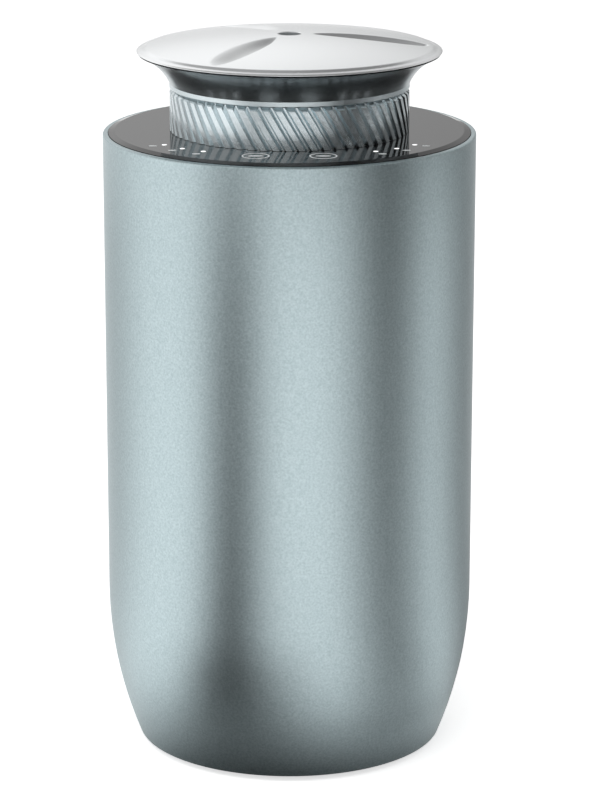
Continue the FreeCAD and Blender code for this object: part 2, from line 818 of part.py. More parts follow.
def top_frame():
    solid = spun(
        (frame_in, z_frame),
        (frame_out, z_frame),
        (frame_out, z_frame_rim),
        (frame_rim_in, z_frame_rim),
        (frame_rim_in, z_frame_floor),
        (touch_board_out, z_frame_floor),
        (touch_board_out, z_touch_board),
        (touch_board_out - STAND_W, z_touch_board),
        (touch_board_out - STAND_W, z_frame_floor),
        (touch_board_in + STAND_W, z_frame_floor),
        (touch_board_in + STAND_W, z_touch_board),
        (touch_board_in, z_touch_board),
        (touch_board_in, z_frame_floor),
        (frame_rim_out, z_frame_floor),
        (frame_rim_out, z_frame_rim),
        (frame_in, z_frame_rim),
    )
    slot_w = RIBBON_W + 2 * RIBBON_SLOT_GAP
    slot_t = RIBBON_T + 2 * RIBBON_SLOT_GAP
    slot = Part.makeBox(slot_w, slot_t, FRAME_T, V(-slot_w / 2, ribbon_middle_r() - slot_t / 2, z_frame))
    cuts = around(cylinder(screw_hole_r, z_frame, z_frame_floor, post_pitch), POSTS, POST_DEG)
    return solid.cut(cuts + [slot])


def frame_screws():
    length = z_frame_floor - z_flange + SCREW_BITE
    one = screw(SCREW_R, SCREW_HEAD_R, SCREW_HEAD_H, length, z_frame_floor, post_pitch, True)
    return around(one, POSTS, POST_DEG)


def key_angles():
    return [-90.0 - KEY_SPREAD, -90.0 + KEY_SPREAD]


def led_angles():
    offsets = [LED_FIRST + LED_STEP * i for i in range(LEDS_A_SIDE)]
    return [-90.0 - offset for offset in offsets] + [-90.0 + offset for offset in offsets]


def touch_board():
    return ring(touch_board_in, touch_board_out, z_touch_board, z_lights)


def leds():
    one = Part.makeBox(LED_W, LED_W, LED_H, V(LED_RING_R - LED_W / 2, -LED_W / 2, z_lights))
    return [turned(one, angle) for angle in led_angles()]


def led_light_pipes():
    one = cylinder(PIPE_R, z_lights + LED_H, z_panel_under, LED_RING_R)
    return [turned(one, angle) for angle in led_angles()]


def touch_pads():
    one = cylinder(KEY_PAD_R, z_lights, z_panel_under, KEY_RING_R)
    return [turned(one, angle) for angle in key_angles()]


def panel_tape():
    outer = ring(frame_rim_in + TAPE_EDGE, frame_out - TAPE_EDGE, z_frame_rim, z_panel_under)
    inner = ring(panel_hole_r + TAPE_EDGE, frame_rim_out - TAPE_EDGE, z_frame_rim, z_panel_under)
    return [outer, inner]


def control_panel():
    return spun(
        (panel_hole_r, z_panel_under),
        (panel_r, z_panel_under),
        (panel_r, z_panel - PANEL_BEVEL_H),
        (panel_r - PANEL_BEVEL_W, z_panel),
        (slip_out + SLIP_EDGE, z_panel),
        (slip_out + SLIP_EDGE, z_slip),
        (panel_hole_r, z_slip),
    )


# Grip collar, its bearing and the bayonet ring
def slip_washer():
    return ring(panel_hole_r + SLIP_EDGE, slip_out, z_slip, z_panel)


def rib_section(z, turn_deg):
    pitch = 2 * math.pi / RIBS
    half_rib = pitch * RIB_SHARE / 2
    half_foot = pitch * RIB_FOOT_SHARE / 2
    corners = []
    for i in range(RIBS):
        middle = pitch * i + math.radians(turn_deg)
        for radius, angle in (
            (rib_floor, middle - half_foot),
            (collar_out, middle - half_rib),
            (collar_out, middle + half_rib),
            (rib_floor, middle + half_foot),
        ):
            corners.append(V(radius * math.cos(angle), radius * math.sin(angle), z))
    return Part.makePolygon(corners + corners[:1])


def grip_collar():
    height = z_collar_top - z_collar
    steps = [i / RIB_SPANS for i in range(RIB_SPANS + 1)]
    sections = [rib_section(z_collar + height * step, RIB_TURN * step) for step in steps]
    ribbed = Part.makeLoft(sections, True, True)
    outside = collar_out + RIB_DEPTH
    rib_top = rib_floor + RIB_TOP_LAND
    z_flange_top = z_collar + COLLAR_FLANGE_T
    envelope = spun(
        (collar_bore, z_collar),
        (outside, z_collar),
        (outside, z_collar_top - (outside - rib_top)),
        (rib_top, z_collar_top),
        (collar_in, z_collar_top),
        (collar_in, z_flange_top),
        (collar_bore, z_flange_top),
    )
    return ribbed.common(envelope)


def collar_retainer():
    hole = cylinder(tiny_hole_r, z_neck_top, z_retainer_top, retainer_screw_pitch)
    head_low = z_retainer_top - TINY_HEAD_H - LUG_REST_GAP
    head = cylinder(TINY_HEAD_R + SCREW_FIT, head_low, z_retainer_top, retainer_screw_pitch)
    cuts = around(hole, POSTS, POST_DEG * 2) + around(head, POSTS, POST_DEG * 2)
    return ring(neck_in, retainer_out, z_neck_top, z_retainer_top).cut(cuts)


def retainer_screws():
    z_seat = z_retainer_top - TINY_HEAD_H - LUG_REST_GAP
    length = z_seat - z_retainer_top + TINY_SCREW_LEN
    one = screw(TINY_SCREW_R, TINY_HEAD_R, TINY_HEAD_H, length, z_seat, retainer_screw_pitch, True)
    return around(one, POSTS, POST_DEG * 2)


def lock_ring():
    slot = sector(carrier_bore, lock_slot_r, z_lock, z_lock + LOCK_T, 0.0, LUG_SPAN + 2 * SLOT_MARGIN)
    return ring(lock_in, collar_in, z_lock, z_lock + LOCK_T).cut(around(slot, LUGS))


# Lift-out head: carrier, seal, atomiser and chimney
def carrier_low():
    return z_lug - CARRIER_SKIRT_H


def air_level():
    return carrier_low() + AIR_RIB_H / 2


def head_carrier():
    low = carrier_low()
    tip = z_ledge + BUSH_FLANGE_T - BUSH_SOCKET + SPIGOT_END_GAP
    groove_low = low + O_RING_RISE - O_RING_R - O_RING_FIT
    groove_top = low + O_RING_RISE + O_RING_R + O_RING_FIT
    groove_r = carrier_low_r - O_RING_SEAT
    tube = spun(
        (carrier_bore, low),
        (carrier_low_r, low),
        (carrier_low_r, groove_low),
        (groove_r, groove_low),
        (groove_r, groove_top),
        (carrier_low_r, groove_top),
        (carrier_low_r, z_lug),
        (carrier_r, z_lug),
        (carrier_r, z_carrier_plate),
        (carrier_plate_r, z_carrier_plate),
        (carrier_plate_r, z_hub),
        (CHIMNEY_R + CHIMNEY_FIT, z_hub),
        (CHIMNEY_R + CHIMNEY_FIT, z_carrier_plate),
        (carrier_bore, z_carrier_plate),
    )
    lug = sector(carrier_bore + CARRIER_WALL / 2, lug_r, z_lug, z_lug + LUG_T, 0.0, LUG_SPAN)
    spigot = cylinder(SPIGOT_R, tip, z_lug, port_r)
    rib_start = ATOMISER_R + NIPPLE_FIT
    rib = Part.makeBox(port_r - rib_start, AIR_RIB_W, AIR_RIB_H, V(rib_start, -AIR_RIB_W / 2, low))
    solid = tube.fuse(around(lug, LUGS) + [turned(spigot, PORT_DEG), turned(rib, PORT_DEG)]).removeSplitter()
    up_bore = cylinder(AIR_BORE_R, tip, air_level(), port_r)
    cross_bore = Part.makeCylinder(AIR_BORE_R, port_r - rib_start, V(rib_start, 0, air_level()), V(1, 0, 0))
    cuts = [turned(up_bore, PORT_DEG), turned(cross_bore, PORT_DEG)]
    cuts += around(cylinder(screw_hole_r, z_carrier_plate, z_hub, cap_screw_pitch), POSTS, POST_DEG)
    cuts += around(cylinder(small_hole_r, z_carrier_plate, z_hub, atomiser_screw_pitch), POSTS, POST_DEG)
    return solid.cut(cuts)


def head_o_ring():
    middle = carrier_low_r - O_RING_SEAT + O_RING_FIT + O_RING_R
    return Part.makeTorus(middle, O_RING_R, V(0, 0, carrier_low() + O_RING_RISE))


def atomiser_body():
    skirt_low = z_web - THREAD_DEPTH
    web_top = z_web + WEB_T
    flange_low = z_carrier_plate - ATOMISER_FLANGE_T
    solid = spun(
        (NOZZLE_R + NOZZLE_FIT, z_web),
        (thread_r, z_web),
        (thread_r, skirt_low),
        (ATOMISER_R, skirt_low),
        (ATOMISER_R, flange_low),
        (ATOMISER_FLANGE_R, flange_low),
        (ATOMISER_FLANGE_R, z_carrier_plate),
        (CHAMBER_R, z_carrier_plate),
        (CHAMBER_R, web_top),
        (NOZZLE_R + NOZZLE_FIT, web_top),
    )
    inlet = Part.makeCylinder(AIR_BORE_R, ATOMISER_R, V(CHAMBER_R / 2, 0, air_level()), V(1, 0, 0))
    hole = cylinder(small_hole_r, flange_low, z_carrier_plate, atomiser_screw_pitch)
    return solid.cut(around(hole, POSTS, POST_DEG) + [turned(inlet, PORT_DEG)])


def atomiser_screws():
    z_seat = z_carrier_plate - ATOMISER_FLANGE_T
    sizes = (SMALL_SCREW_R, SMALL_HEAD_R, SMALL_HEAD_H, ATOMISER_SCREW_LEN)
    one = screw(*sizes, z_seat, atomiser_screw_pitch, False)
    return around(one, POSTS, POST_DEG)


def atomiser_nozzle():
    low = z_web - NOZZLE_DROP
    seat_top = low + DIP_SEAT
    foot_top = z_web + WEB_T
    disc_low = foot_top + NOZZLE_DISC_RISE
    disc_top = disc_low + NOZZLE_DISC_T
    return spun(
        (DIP_R + NOZZLE_FIT, low),
        (NOZZLE_R, low),
        (NOZZLE_R, foot_top),
        (NOZZLE_STEM_R, foot_top),
        (NOZZLE_STEM_R, disc_low),
        (CHAMBER_R - NOZZLE_FIT, disc_low),
        (CHAMBER_R - NOZZLE_FIT, disc_top),
        (NOZZLE_STEM_R, disc_top),
        (NOZZLE_STEM_R, disc_top + NOZZLE_TIP),
        (NOZZLE_BORE_R, disc_top + NOZZLE_TIP),
        (NOZZLE_BORE_R, seat_top),
        (DIP_R + NOZZLE_FIT, seat_top),
    )


def dip_tube():
    top = z_web - NOZZLE_DROP + DIP_SEAT
    return ring(DIP_BORE_R, DIP_R, z_bottle + BOTTLE_BASE + DIP_END_GAP, top)


def chimney():
    flange_low = z_carrier_plate - CHIMNEY_FLANGE_T
    return spun(
        (CHIMNEY_BORE_R, flange_low),
        (CHAMBER_R - CHIMNEY_FIT, flange_low),
        (CHAMBER_R - CHIMNEY_FIT, z_carrier_plate),
        (CHIMNEY_R, z_carrier_plate),
        (CHIMNEY_R, z_disc - CHIMNEY_FIT),
        (CHIMNEY_BORE_R, z_disc - CHIMNEY_FIT),
    )


# Flared cap
def trim_ring():
    inner = hub_r + TRIM_FIT
    return spun(
        (inner, z_trim),
        (trim_top_r - TRIM_BEVEL, z_trim),
        (trim_top_r, z_trim + TRIM_BEVEL),
        (trim_top_r, z_skirt),
        (inner, z_skirt),
    )


def cap_skirt():
    wall_r = hub_r - SKIRT_WALL
    z_plate = z_hub + HUB_T
    z_seat = z_rim - RIM_SEAT_H
    seat_in = rim_seat_r - SKIRT_WALL
    solid = spun(
        (HUB_BORE_R, z_hub),
        (hub_r, z_hub),
        (hub_r, z_skirt),
        (trim_top_r, z_skirt),
        ("curve", (trim_top_r + FLARE_PULL_R, z_skirt + FLARE_PULL_Z), (rim_r, z_rim)),
        (rim_seat_r, z_rim),
        (rim_seat_r, z_seat),
        (seat_in, z_seat),
        ("curve", (wall_r + FLARE_PULL_R, z_skirt + FLARE_PULL_Z), (wall_r, z_skirt + SKIRT_WALL)),
        (wall_r, z_plate),
        (HUB_BORE_R, z_plate),
    )
    return solid.cut(around(cylinder(screw_hole_r, z_hub, z_plate, cap_screw_pitch), POSTS, POST_DEG))


def scoop():
    # Lens-shaped cutter: an arc spun about its chord, flattened, laid along +X from the outlet to the rim
    arc = Part.Arc(ORIGIN, V(SCOOP_LEN / 2, 0, SCOOP_W / 2), V(SCOOP_LEN, 0, 0)).toShape()
    chord = Part.LineSegment(V(SCOOP_LEN, 0, 0), ORIGIN).toShape()
    lens = Part.Face(Part.Wire([arc, chord])).revolve(ORIGIN, V(1, 0, 0), 360)
    flatten = FreeCAD.Matrix()
    flatten.scale(1.0, 1.0, 2 * SCOOP_DEPTH / SCOOP_W)
    lens = lens.transformGeometry(flatten)
    z_tip = dome_height(SCOOP_TIP_R)
    z_end = dome_height(SCOOP_TIP_R + SCOOP_LEN) + SCOOP_RISE
    lens.rotate(ORIGIN, V(0, 1, 0), math.degrees(math.atan2(z_tip - z_end, SCOOP_LEN)))
    lens.translate(V(SCOOP_TIP_R, 0, z_tip))
    return lens


def cap_disc():
    middle = dome_edge_r / 2
    disc = spun(
        (OUTLET_R, z_disc),
        (bead_ring_r, z_disc),
        ("arc", (bead_ring_r + BEAD_R, z_bead), (bead_ring_r, z_bead + BEAD_R)),
        (bead_ring_r - GROOVE_W / 2, z_dome_edge - GROOVE_DEPTH),
        (dome_edge_r, z_dome_edge),
        ("arc", (middle, dome_height(middle)), (OUTLET_R, dome_height(OUTLET_R))),
    )
    disc = disc.cut(around(scoop(), SCOOPS, SCOOP_DEG))
    boss_in = CHIMNEY_R + CHIMNEY_FIT
    lip_out = rim_seat_r - DISC_LIP_GAP
    post = cylinder(CAP_POST_R, z_hub + HUB_T, z_disc, cap_screw_pitch)
    pieces = around(post, POSTS, POST_DEG)
    pieces.append(ring(boss_in, boss_in + BOSS_WALL, z_disc - BOSS_H, z_disc))
    pieces.append(ring(lip_out - DISC_LIP_W, lip_out, z_disc - DISC_LIP_H, z_disc))
    hole_top = z_hub + HUB_T + SCREW_BITE - CARRIER_TOP_T - SCREW_END_GAP
    hole = cylinder(screw_hole_r, z_hub + HUB_T, hole_top, cap_screw_pitch)
    return disc.fuse(pieces).removeSplitter().cut(around(hole, POSTS, POST_DEG))


def cap_screws():
    one = screw(SCREW_R, SCREW_HEAD_R, SCREW_HEAD_H, SCREW_BITE, z_carrier_plate, cap_screw_pitch, False)
    return around(one, POSTS, POST_DEG)


# Scent bottle
def bottle():
    neck_low = z_mouth - BOTTLE_NECK_H
    shoulder_low = neck_low - BOTTLE_SHOULDER_H
    inner_r = BOTTLE_R - BOTTLE_WALL
    solid = spun(
        (0.0, z_bottle),
        (BOTTLE_R, z_bottle),
        (BOTTLE_R, shoulder_low),
        ("curve", (BOTTLE_R, neck_low), (BOTTLE_NECK_R, neck_low)),
        (BOTTLE_NECK_R, z_mouth),
        (BOTTLE_MOUTH_R, z_mouth),
        (BOTTLE_MOUTH_R, neck_low - BOTTLE_WALL),
        ("curve", (inner_r, neck_low - BOTTLE_WALL), (inner_r, shoulder_low - BOTTLE_WALL)),
        (inner_r, z_bottle + BOTTLE_BASE),
        (0.0, z_bottle + BOTTLE_BASE),
    )
    return round_edge(solid, BOTTLE_HEEL, BOTTLE_R, z_bottle)


def bottle_seal():
    return ring(BOTTLE_NECK_R - SEAL_W, BOTTLE_NECK_R, z_mouth, z_mouth + SEAL_T)


PIECES = (
    body_shell,
    foot_ring,
    base_cover,
    base_screws,
    chassis,
    pump_mount,
    pump_motor,
    pump_rotor,
    pump_body,
    pump_diaphragm,
    pump_valve_plate,
    pump_cover,
    pump_screws,
    intake_filter,
    air_hose,
    air_bush,
    control_board,
    dc_jack,
    motor_leads,
    ribbon_cable,
    bottle_well,
    top_frame,
    frame_screws,
    touch_board,
    leds,
    led_light_pipes,
    touch_pads,
    panel_tape,
    control_panel,
    slip_washer,
    grip_collar,
    collar_retainer,
    retainer_screws,
    lock_ring,
    head_carrier,
    head_o_ring,
    atomiser_body,
    atomiser_screws,
    atomiser_nozzle,
    dip_tube,
    chimney,
    trim_ring,
    cap_skirt,
    cap_disc,
    cap_screws,
    bottle,
    bottle_seal,
)

os.makedirs("parts", exist_ok=True)
for piece in PIECES:
    made = piece()
    solids = made if isinstance(made, list) else made.Solids
    shape = solids[0] if len(solids) == 1 else Part.makeCompound(solids)
    shape.exportStep(os.path.join("parts", piece.__name__ + ".step"))
    print(piece.__name__, len(shape.Solids), "solids", round(shape.Volume, 1), "mm3", shape.isValid())
print("body radius", round(body_r, 3), "panel top", round(z_panel, 3), "crown", round(z_crown, 3))
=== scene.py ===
# %% [markdown]
# A table-top scent diffuser: a blasted aluminium can with a black touch panel, a ribbed locking collar and a
# flared cap that lets scented air out through its middle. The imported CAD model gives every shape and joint,
# so it is loaded first as a fixed frame, and everything below only dresses it.

import math

import bmesh
import bpy
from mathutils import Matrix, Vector


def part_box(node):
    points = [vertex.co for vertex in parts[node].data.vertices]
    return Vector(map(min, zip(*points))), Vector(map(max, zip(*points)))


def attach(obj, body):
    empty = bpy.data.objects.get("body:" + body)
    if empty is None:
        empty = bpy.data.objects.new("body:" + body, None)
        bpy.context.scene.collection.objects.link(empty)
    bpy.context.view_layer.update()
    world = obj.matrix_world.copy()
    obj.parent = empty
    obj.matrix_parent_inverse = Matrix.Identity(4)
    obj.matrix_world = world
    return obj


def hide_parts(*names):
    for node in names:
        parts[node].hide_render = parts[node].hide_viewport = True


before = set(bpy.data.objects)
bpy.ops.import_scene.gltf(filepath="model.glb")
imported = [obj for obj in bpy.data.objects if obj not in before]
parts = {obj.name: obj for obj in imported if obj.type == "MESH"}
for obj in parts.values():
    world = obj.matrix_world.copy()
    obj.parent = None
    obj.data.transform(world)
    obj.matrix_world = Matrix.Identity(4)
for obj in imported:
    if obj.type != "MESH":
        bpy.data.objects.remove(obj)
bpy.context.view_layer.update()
MM = 0.001

# %% [markdown]
# The camera comes next, because every later choice is judged through it. The photograph's perspective was
# worked out from the rims: the lens looks down by about 15 degrees from one metre away. The object stands a
# little left of the picture's middle, which a small lens shift gives without turning the camera.

# %% Camera
CAMERA_PLACE = Vector((0.0, -0.97570, 0.37424))
CAMERA_AIM = Vector((0.0, 0.0, 0.104698))
LENS, SENSOR = 151.18, 36.0
SHIFT_RIGHT = 10.5 / 800  # in pixels, as a share of the picture's longer side

lens_data = bpy.data.cameras.new("camera")
lens_data.lens = LENS
lens_data.sensor_width = SENSOR
lens_data.shift_x = SHIFT_RIGHT
camera = bpy.data.objects.new("camera", lens_data)
camera.location = CAMERA_PLACE
camera.rotation_euler = (CAMERA_AIM - CAMERA_PLACE).to_track_quat("-Z", "Y").to_euler()
bpy.context.scene.collection.objects.link(camera)
bpy.context.scene.camera = camera
bpy.context.scene.view_settings.view_transform = "Standard"
print("camera distance in m:", round((CAMERA_AIM - CAMERA_PLACE).length, 3))

# %% [markdown]
# Colours are written as the hex values that a picture shows, and one function turns them into the linear
# values that a shader works with. One small function adds any node. Most finishes here are a fine grain, left
# by beads, a cutter or a mould. So one more function lays a noise of the grain's width over a surface, where
# it varies the gloss, the height or the tone.


# %% Colour and node helpers
def linear(hex_colour):
    shades = [int(hex_colour[i : i + 2], 16) / 255 for i in (1, 3, 5)]
    return [s / 12.92 if s <= 0.04045 else ((s + 0.055) / 1.055) ** 2.4 for s in shades] + [1.0]


def node(tree, kind, sockets=None, links=None, **settings):
    made = tree.nodes.new(kind)
    for name, value in settings.items():
        setattr(made, name, value)
    for name, value in (sockets or {}).items():
        made.inputs[name].default_value = value
    for name, source in (links or {}).items():
        tree.links.new(source, made.inputs[name])
    return made


def finish(name, colour, roughness, metallic=0.0, **sockets):
    material = bpy.data.materials.new(name)
    material.use_nodes = True
    shader = material.node_tree.nodes["Principled BSDF"]
    shader.inputs["Base Color"].default_value = linear(colour)
    shader.inputs["Roughness"].default_value = roughness
    shader.inputs["Metallic"].default_value = metallic
    for socket, value in sockets.items():
        shader.inputs[socket.replace("_", " ")].default_value = value
    return material, material.node_tree, shader


def grain(tree, shader, width, detail, gloss=None, dent=None, tones=None, span=(0.0, 1.0), where=None):
    # width in mm, gloss as two roughnesses, dent as strength and depth in mm, tones as dark and pale colours
    if where is None:
        where = node(tree, "ShaderNodeTexCoord").outputs["Object"]
    size = {"Scale": 1 / (width * MM), "Detail": detail}
    height = node(tree, "ShaderNodeTexNoise", size, {"Vector": where}).outputs["Fac"]
    if gloss:
        ends = {"To Min": gloss[0], "To Max": gloss[1]}
        matt = node(tree, "ShaderNodeMapRange", ends, {"Value": height})
        tree.links.new(matt.outputs["Result"], shader.inputs["Roughness"])
    if dent:
        depth = {"Strength": dent[0], "Distance": dent[1] * MM}
        dents = node(tree, "ShaderNodeBump", depth, {"Height": height})
        tree.links.new(dents.outputs["Normal"], shader.inputs["Normal"])
    if tones:
        ramp = node(tree, "ShaderNodeValToRGB", links={"Fac": height})
        for stop, place, tone in zip(ramp.color_ramp.elements, span, tones):
            stop.position = place
            stop.color = linear(tone)
        tree.links.new(ramp.outputs["Color"], shader.inputs["Base Color"])


def wear(material, *names):
    for name in names:
        parts[name].data.materials.clear()
        parts[name].data.materials.append(material)
    print(material.name, "on", ", ".join(names))


# %% [markdown]
# The object was photographed on white. The floor here is a pale matt sheet that is lit like everything else
# and takes the object's shadow. A little of its own light, shown to the camera, to glossy and to see-through
# rays, lifts it to white, so the metal mirrors the same white that the picture shows. It reaches far, so that
# low views end on it too.

# %% Floor
FLOOR_HALF = 40.0
FLOOR_GLOW = 0.62

floor_mesh = bpy.data.meshes.new("floor")
corners = [(x * FLOOR_HALF, y * FLOOR_HALF, 0) for x, y in ((-1, -1), (1, -1), (1, 1), (-1, 1))]
floor_mesh.from_pydata(corners, [], [(0, 1, 2, 3)])
floor = bpy.data.objects.new("floor", floor_mesh)
bpy.context.scene.collection.objects.link(floor)

paper, tree, shader = finish("matt_white_paper", "#F4F4F4", 0.9)
rays = node(tree, "ShaderNodeLightPath").outputs
either = {0: rays["Is Camera Ray"], 1: rays["Is Glossy Ray"]}
seen = node(tree, "ShaderNodeMath", links=either, operation="MAXIMUM")
either = {0: seen.outputs[0], 1: rays["Is Transmission Ray"]}
lit = node(tree, "ShaderNodeMath", links=either, operation="MAXIMUM")
glow = node(tree, "ShaderNodeMath", {1: FLOOR_GLOW}, {0: lit.outputs[0]}, operation="MULTIPLY")
shader.inputs["Emission Color"].default_value = (1, 1, 1, 1)
tree.links.new(glow.outputs[0], shader.inputs["Emission Strength"])
floor_mesh.materials.append(paper)
print("floor glow:", FLOOR_GLOW)

# %% [markdown]
# A light tent surrounds a shiny product with soft white, and its dimmer parts give the metal its form. The
# world is that tent: a white belt all round, dim overhead and dimmer to the right, which is what the scoops and
# the rolled edge of the cap mirror. A wide lamp in front and above lights the printed marks and drops the
# floor's shadow behind the object. The metal does not mirror it.

# %% World and lamp
TENT_BELT = ((0.12, 0.66), (0.34, 1.0), (0.54, 1.0), (0.68, 0.32))  # upward part of a direction, and its shade
TENT_TURN = (-0.06, 0.20)  # rightward part of a direction, where the left strength gives way to the right one
TENT_LEFT, TENT_RIGHT = 1.06, 0.67
LAMP_PLACE = Vector((-0.3, -0.6, 1.3))
LAMP_AIM = Vector((0.0, 0.0, 0.1))
LAMP_WIDE, LAMP_HIGH = 1.4, 1.0
LAMP_WATTS = 9.0

world = bpy.data.worlds.new("light_tent")
bpy.context.scene.world = world
world.use_nodes = True
tree = world.node_tree
towards = node(tree, "ShaderNodeTexCoord")
split = node(tree, "ShaderNodeSeparateXYZ", links={"Vector": towards.outputs["Generated"]})
belt = node(tree, "ShaderNodeValToRGB", links={"Fac": split.outputs["Z"]})
belt.color_ramp.interpolation = "EASE"
for place, _ in TENT_BELT[1:-1]:
    belt.color_ramp.elements.new(place)
for stop, (place, shade) in zip(belt.color_ramp.elements, TENT_BELT):
    stop.position = place
    stop.color = (shade, shade, shade, 1)
reach = {"From Min": TENT_TURN[0], "From Max": TENT_TURN[1], "To Min": TENT_LEFT, "To Max": TENT_RIGHT}
side = node(tree, "ShaderNodeMapRange", reach, {"Value": split.outputs["X"]}, interpolation_type="SMOOTHSTEP")
tree.links.new(belt.outputs["Color"], tree.nodes["Background"].inputs["Color"])
tree.links.new(side.outputs["Result"], tree.nodes["Background"].inputs["Strength"])

lamp_data = bpy.data.lights.new("front_softbox", "AREA")
lamp_data.shape = "RECTANGLE"
lamp_data.size = LAMP_WIDE
lamp_data.size_y = LAMP_HIGH
lamp_data.energy = LAMP_WATTS
lamp = bpy.data.objects.new("front_softbox", lamp_data)
lamp.location = LAMP_PLACE
lamp.visible_glossy = False
lamp.rotation_euler = (LAMP_AIM - LAMP_PLACE).to_track_quat("-Z", "Y").to_euler()
bpy.context.scene.collection.objects.link(lamp)
print("tent:", TENT_LEFT, "to", TENT_RIGHT, "lamp in W:", LAMP_WATTS)

# %% [markdown]
# The body shows soft upright bands: white in front and at the left, with dark stripes between, and it darkens
# towards the foot. In a studio this could come from black gauze round the object, just outside the picture.
# Some cards here lie on the floor, some stand up and some do both, and all thin out towards their edges. Only
# glossy reflections see them, so they cast no shadow and show in no view.

# %% Gauze cards
CARD_STEP = 3.0  # degrees between two columns of points
CARD_LIFT = 0.05  # mm between two cards that lie on each other
# Along a card: (radius, share) where it lies and (height, share) where it stands, in mm
LEFT_FLOOR = [(60, 0.0), (110, 1.0), (300, 1.0)]
LEFT_WALL = [(30, 1.0), (95, 0.92), (120, 0.90), (150, 0.40), (260, 0.0)]
RIGHT_FLOOR = [(60, 0.3), (110, 0.77), (300, 0.87)]
RIGHT_WALL = [(30, 0.9), (80, 0.9), (120, 0.92), (200, 0.95), (260, 0.0)]
HIGH_FLOOR = [(300, 0.0)]
HIGH_WALL = [(126, 0.0), (146, 1.0), (200, 1.0), (260, 0.0)]
BEHIND_LEFT_FLOOR = [(56, 0.5), (90, 0.8), (300, 1.0)]
BEHIND_LEFT_WALL = [(100, 1.0), (180, 0.0)]
BEHIND_RIGHT_FLOOR = [(56, 0.9), (90, 1.0), (300, 1.0)]
BEHIND_RIGHT_WALL = [(130, 1.0), (240, 0.0)]
FOOT_RING = [(40, 0.93), (48, 0.92), (66, 0.63), (90, 0.22), (120, 0.08), (150, 0.0)]
FOOT_LEFT = [(46, 0.6), (66, 0.8), (90, 1.0), (120, 0.95), (200, 0.0)]
FOOT_RIGHT = [(46, 0.6), (66, 0.9), (90, 1.0), (130, 0.0)]
CARDS = [
    # name, middle and half angle in degrees to the right of the camera's side, strength, lying, standing
    ("card_left", -32, 29, 0.98, LEFT_FLOOR, LEFT_WALL),
    ("card_right", 57, 42, 0.95, RIGHT_FLOOR, RIGHT_WALL),
    ("card_right_high", 56, 54, 0.88, HIGH_FLOOR, HIGH_WALL),
    ("card_far_high", 100, 40, 0.80, HIGH_FLOOR, HIGH_WALL),
    ("card_front_high", 12, 48, 0.50, HIGH_FLOOR, HIGH_WALL),
    ("card_behind_left", -128, 48, 0.45, BEHIND_LEFT_FLOOR, BEHIND_LEFT_WALL),
    ("card_behind_right", 128, 54, 0.72, BEHIND_RIGHT_FLOOR, BEHIND_RIGHT_WALL),
    ("card_foot", 0, 180, 1.0, FOOT_RING, []),
    ("card_foot_left", -24, 52, 0.86, FOOT_LEFT, []),
    ("card_foot_right", 46, 30, 0.18, FOOT_RIGHT, []),
]

gauze, tree, shader = finish("black_gauze", "#050505", 0.9)
thread = node(tree, "ShaderNodeAttribute", attribute_name="feather")
tree.links.new(thread.outputs["Fac"], shader.inputs["Alpha"])

for number, (name, middle, half, strength, lying, upright) in enumerate(CARDS, 1):
    # Each card lies a little higher and stands 1 mm further out than the one before, so that none coincide
    profile = [(r, CARD_LIFT * number, share) for r, share in lying]
    profile += [(lying[-1][0] + number, height, share) for height, share in upright]
    count, across = round(2 * half / CARD_STEP), len(profile)
    verts, faces, feather = [], [], []
    for i in range(count + 1):
        away = 2 * i / count - 1
        angle = math.radians(middle + half * away)
        for r, z, share in profile:
            verts.append((r * MM * math.sin(angle), -r * MM * math.cos(angle), z * MM))
            feather.append(strength * share * math.cos(math.pi / 2 * away) ** 2)
    for i in range(count):
        for a in range(i * across, (i + 1) * across - 1):
            faces.append((a, a + 1, a + across + 1, a + across))
    mesh = bpy.data.meshes.new(name)
    mesh.from_pydata(verts, [], faces)
    mesh.attributes.new("feather", "FLOAT", "POINT").data.foreach_set("value", feather)
    mesh.materials.append(gauze)
    card = bpy.data.objects.new(name, mesh)
    card.visible_camera = False
    card.visible_diffuse = False
    card.visible_shadow = False
    card.visible_transmission = False
    bpy.context.scene.collection.objects.link(card)
print("cards:", len(CARDS))

# %% [markdown]
# The body is drawn aluminium, bead-blasted and anodised clear. Blasting leaves tiny dimples, so the metal
# mirrors broad soft bands and has a fine sparkle. The real dimples are about 0.1 mm, under one pixel here, so
# they are drawn 0.6 mm wide to show at all.

# %% Bead-blasted aluminium, on the body
DIMPLE = 0.6
SPARKLE = ("#A5B6BA", "#C2D1D4")
SPARKLE_SPAN = (0.25, 0.75)

blasted, tree, shader = finish("blasted_aluminium", "#B4C4C6", 0.36, 1.0)
grain(tree, shader, DIMPLE, 2.0, gloss=(0.32, 0.40), dent=(0.10, 0.05), tones=SPARKLE, span=SPARKLE_SPAN)
wear(blasted, "body_shell")

# %% [markdown]
# The cap's top is the same metal with a paler and finer finish, as smaller beads leave it. It is nearly white,
# and its mirror is a little sharper than the body's.

# %% Satin silver aluminium, on the cap's top
FINE_DIMPLE = 0.4

silver, tree, shader = finish("satin_silver_aluminium", "#F8FAFB", 0.26, 1.0)
grain(tree, shader, FINE_DIMPLE, 2.0, gloss=(0.23, 0.29), dent=(0.05, 0.03))
wear(silver, "cap_disc")

# %% [markdown]
# The cap's top is a shallow dome with three leaf-shaped scoops round the outlet. Each scoop falls gently from
# one side to a valley and rises steeply on the other, so one side mirrors white and the other dark, and the
# dome rolls over at its edge. A fine polar mesh shows that better than the plain dents of the CAD piece, which
# it replaces at the same size.

